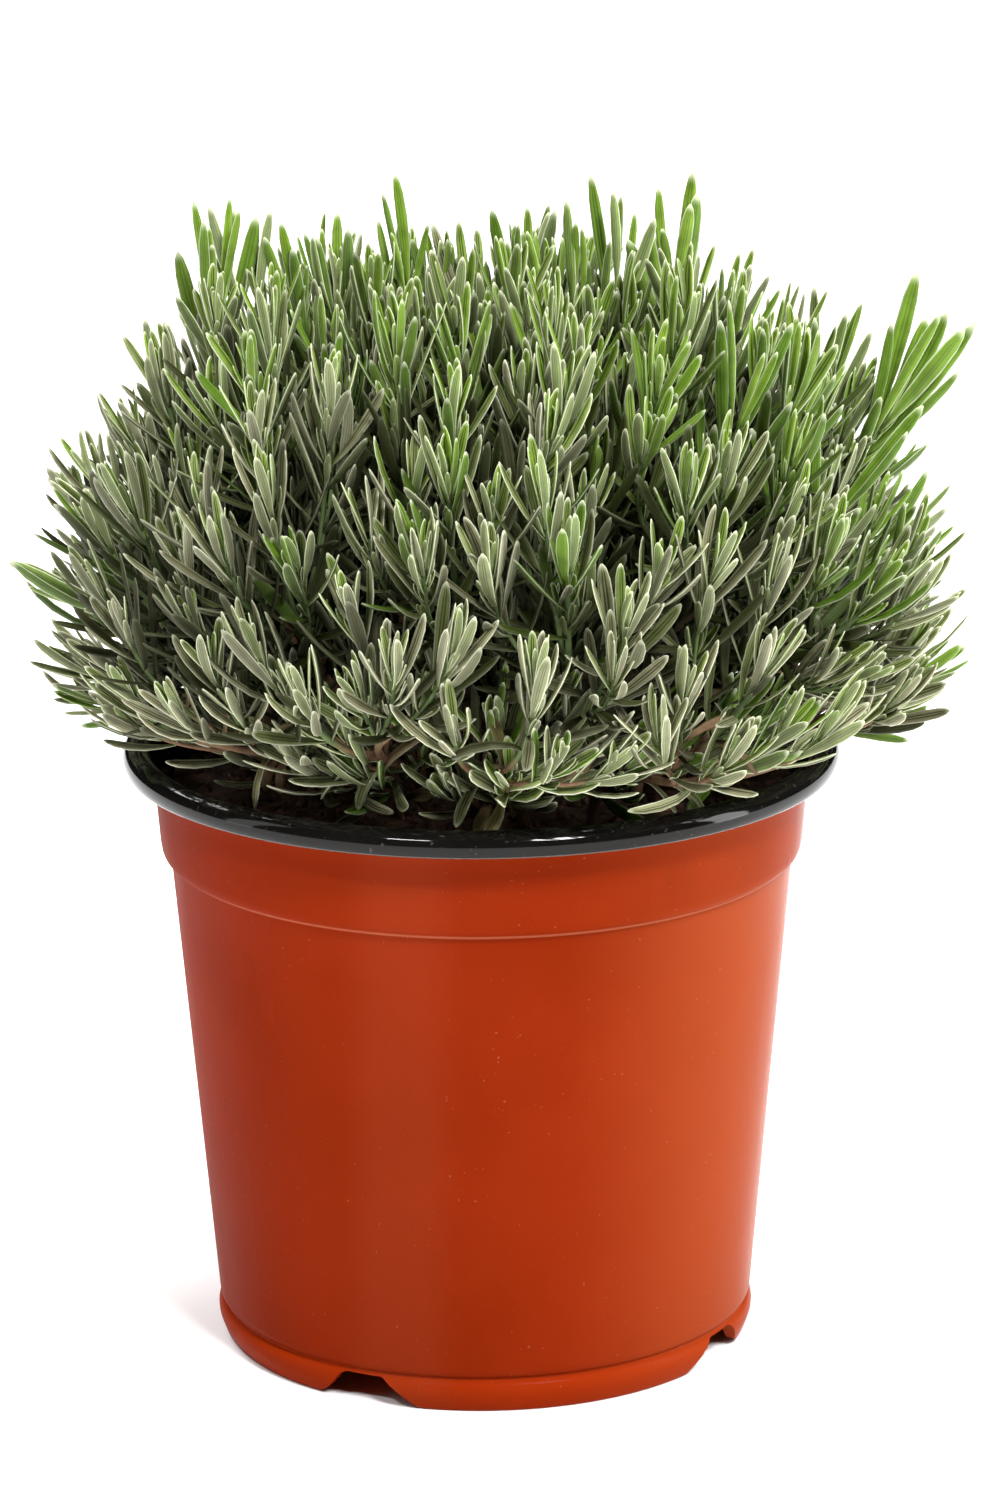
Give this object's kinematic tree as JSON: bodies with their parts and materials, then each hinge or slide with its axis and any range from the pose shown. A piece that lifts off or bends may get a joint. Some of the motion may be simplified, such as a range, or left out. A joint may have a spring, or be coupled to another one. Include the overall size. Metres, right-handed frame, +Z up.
{
  "type": "potted lavender",
  "caption": "Bushy lavender plant without flowers in a round nursery pot with a rolled rim, a footed base and potting soil.",
  "frame": {"origin": "on the floor under the pot's axis, at the height of the undersides of the feet", "axes": "+Z up along the pot's axis, +X to the right and -Y towards the viewer in the pictured front view"},
  "size_m": [0.2563, 0.2594, 0.3054],
  "materials": {
    "terracotta_plastic": "semi-gloss moulded plastic",
    "black_plastic": "gloss moulded plastic",
    "potting_soil": "moist peat and bark crumbs",
    "lavender_foliage": "matt, finely hairy grey-green leaves"
  },
  "bodies": {
    "root": {"pot_wall": "terracotta_plastic", "pot_lining": "black_plastic", "potting_soil": "potting_soil", "leafy_stem_01": "lavender_foliage", "leafy_stem_02": "lavender_foliage", "leafy_stem_03": "lavender_foliage", "leafy_stem_04": "lavender_foliage", "leafy_stem_05": "lavender_foliage", "leafy_stem_06": "lavender_foliage", "leafy_stem_07": "lavender_foliage", "leafy_stem_08": "lavender_foliage", "leafy_stem_09": "lavender_foliage", "leafy_stem_10": "lavender_foliage", "leafy_stem_11": "lavender_foliage", "leafy_stem_12": "lavender_foliage", "leafy_stem_13": "lavender_foliage", "leafy_stem_14": "lavender_foliage", "leafy_stem_15": "lavender_foliage", "leafy_stem_16": "lavender_foliage", "leafy_stem_17": "lavender_foliage", "leafy_stem_18": "lavender_foliage", "leafy_stem_19": "lavender_foliage", "leafy_stem_20": "lavender_foliage", "leafy_stem_21": "lavender_foliage", "leafy_stem_22": "lavender_foliage", "leafy_stem_23": "lavender_foliage", "leafy_stem_24": "lavender_foliage", "leafy_stem_25": "lavender_foliage", "leafy_stem_26": "lavender_foliage", "leafy_stem_27": "lavender_foliage", "leafy_stem_28": "lavender_foliage", "leafy_stem_29": "lavender_foliage", "leafy_stem_30": "lavender_foliage"}
  },
  "joints": []
}
